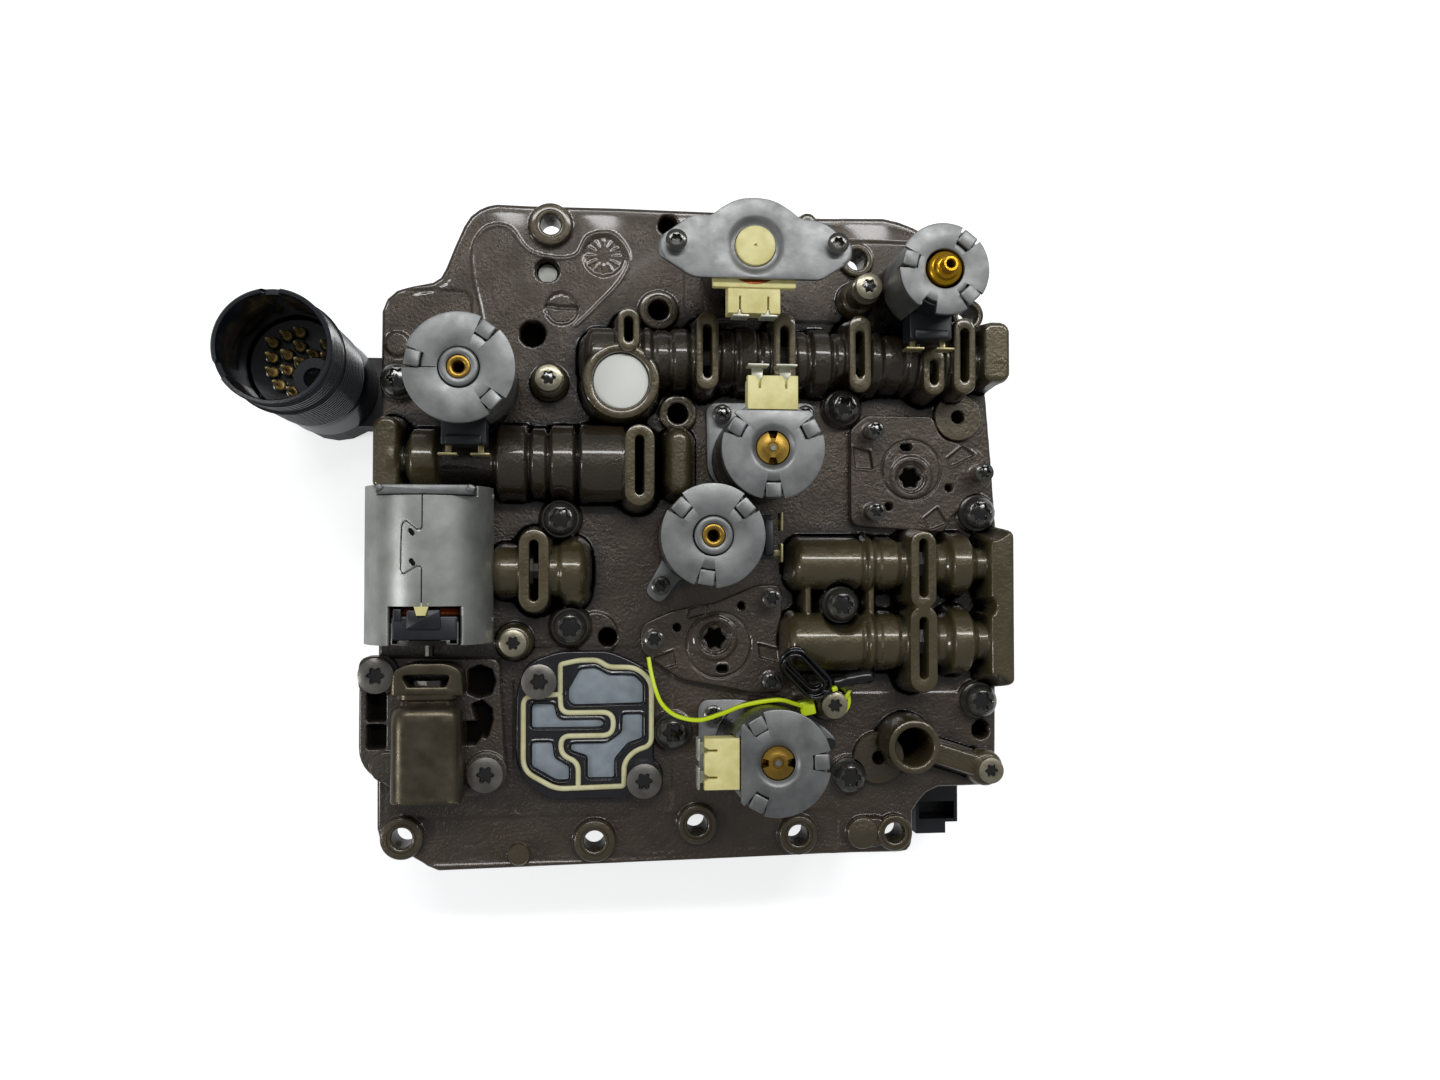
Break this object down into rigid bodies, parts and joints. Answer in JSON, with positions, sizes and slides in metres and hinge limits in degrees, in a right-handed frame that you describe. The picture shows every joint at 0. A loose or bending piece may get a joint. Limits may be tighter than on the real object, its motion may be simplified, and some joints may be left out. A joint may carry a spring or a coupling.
{
  "type": "transmission mechatronic unit",
  "caption": "Flat cast valve body with upright and lying solenoids, slotted spool rows, a round harness connector and a plastic electronics module beneath.",
  "frame": {"origin": "middle of the valve body's outline, at the underside of the electronics base plate", "axes": "+Z out of the valve body's face, away from the electronics module; +X along the spool rows, away from the round connector; +Y toward the flanged solenoid's edge"},
  "size_m": [0.2476, 0.218, 0.1008],
  "materials": {
    "cast": "oily, dark brown cast",
    "steel": "matt pressed steel",
    "brass": "turned",
    "black_plastic": "moulded",
    "yellow_plastic": "moulded",
    "pale_plastic": "moulded",
    "lime_plastic": "moulded",
    "cream_rubber": "moulded bead",
    "black_rubber": "smooth"
  },
  "bodies": {
    "unit": {"valve_body": "cast", "channel_plate": "cast", "separator_plate": "steel", "electronics_housing": "black_plastic", "electronics_base_plate": "steel", "connector_shell": "black_plastic", "connector_insert": "black_plastic", "connector_seal_ring": "black_rubber", "solenoid_a_can": "steel", "solenoid_a_cap": "steel", "solenoid_a_coil": "black_plastic", "solenoid_a_core": "brass", "solenoid_b_can": "steel", "solenoid_b_cap": "steel", "solenoid_b_coil": "yellow_plastic", "solenoid_b_core": "yellow_plastic", "solenoid_c_can": "steel", "solenoid_c_cap": "steel", "solenoid_c_coil": "black_plastic", "solenoid_c_core": "brass", "solenoid_d_can": "steel", "solenoid_d_cap": "steel", "solenoid_d_coil": "yellow_plastic", "solenoid_d_core": "brass", "solenoid_d_bracket": "steel", "solenoid_e_can": "steel", "solenoid_e_cap": "steel", "solenoid_e_coil": "black_plastic", "solenoid_e_core": "brass", "solenoid_e_bracket": "steel", "solenoid_f_can": "steel", "solenoid_f_cap": "steel", "solenoid_f_coil": "yellow_plastic", "solenoid_f_core": "brass", "solenoid_f_bracket": "steel", "solenoid_g_can": "steel", "solenoid_g_coil": "black_plastic", "solenoid_g_end_plate": "steel", "canister_housing": "cast", "port_plate": "black_plastic", "port_seal": "cream_rubber", "accumulator_cover_right": "cast", "accumulator_cover_left": "cast", "filter_disc": "pale_plastic", "cable_tie": "lime_plastic", "cord_hank": "black_rubber", "cord_end_sleeve": "black_rubber"},
    "plunger_a": {"solenoid_a_armature": "steel"},
    "plunger_b": {"solenoid_b_armature": "steel"},
    "plunger_c": {"solenoid_c_armature": "steel"},
    "plunger_d": {"solenoid_d_armature": "steel"},
    "plunger_e": {"solenoid_e_armature": "steel"},
    "plunger_f": {"solenoid_f_armature": "steel"},
    "plunger_g": {"solenoid_g_armature": "steel"},
    "spool_canister": {"canister_spool": "steel"},
    "spool_upper": {"upper_spool": "steel"},
    "spool_left": {"left_spool": "steel"},
    "spool_stub": {"stub_spool": "steel"},
    "spool_right_upper": {"right_upper_spool": "steel"},
    "spool_right_lower": {"right_lower_spool": "steel"}
  },
  "joints": [
    {"name": "plunger_a_slide", "type": "slide", "parent": "unit", "child": "plunger_a", "axis": [0, 0, 1], "range_m": [0, 0.0012], "stiffness_N_per_m": 500, "springref_m": -0.003},
    {"name": "plunger_b_slide", "type": "slide", "parent": "unit", "child": "plunger_b", "axis": [0, 0, 1], "range_m": [0, 0.0012], "stiffness_N_per_m": 500, "springref_m": -0.003},
    {"name": "plunger_c_slide", "type": "slide", "parent": "unit", "child": "plunger_c", "axis": [0, 0, 1], "range_m": [0, 0.0012], "stiffness_N_per_m": 500, "springref_m": -0.003},
    {"name": "plunger_d_slide", "type": "slide", "parent": "unit", "child": "plunger_d", "axis": [0, 0, 1], "range_m": [0, 0.0012], "stiffness_N_per_m": 500, "springref_m": -0.003},
    {"name": "plunger_e_slide", "type": "slide", "parent": "unit", "child": "plunger_e", "axis": [0, 0, 1], "range_m": [0, 0.0012], "stiffness_N_per_m": 500, "springref_m": -0.003},
    {"name": "plunger_f_slide", "type": "slide", "parent": "unit", "child": "plunger_f", "axis": [0, 0, 1], "range_m": [0, 0.0012], "stiffness_N_per_m": 500, "springref_m": -0.003},
    {"name": "plunger_g_slide", "type": "slide", "parent": "unit", "child": "plunger_g", "axis": [0, 1, 0], "range_m": [0, 0.0012], "stiffness_N_per_m": 500, "springref_m": -0.003},
    {"name": "spool_canister_slide", "type": "slide", "parent": "unit", "child": "spool_canister", "axis": [0, 1, 0], "range_m": [0, 0.004], "stiffness_N_per_m": 500, "springref_m": -0.004},
    {"name": "spool_upper_slide", "type": "slide", "parent": "unit", "child": "spool_upper", "axis": [1, 0, 0], "range_m": [0, 0.004], "stiffness_N_per_m": 500, "springref_m": -0.004},
    {"name": "spool_left_slide", "type": "slide", "parent": "unit", "child": "spool_left", "axis": [1, 0, 0], "range_m": [0, 0.004], "stiffness_N_per_m": 500, "springref_m": -0.004},
    {"name": "spool_stub_slide", "type": "slide", "parent": "unit", "child": "spool_stub", "axis": [1, 0, 0], "range_m": [0, 0.004], "stiffness_N_per_m": 500, "springref_m": -0.004},
    {"name": "spool_right_upper_slide", "type": "slide", "parent": "unit", "child": "spool_right_upper", "axis": [1, 0, 0], "range_m": [0, 0.004], "stiffness_N_per_m": 500, "springref_m": -0.004},
    {"name": "spool_right_lower_slide", "type": "slide", "parent": "unit", "child": "spool_right_lower", "axis": [1, 0, 0], "range_m": [0, 0.004], "stiffness_N_per_m": 500, "springref_m": -0.004}
  ]
}
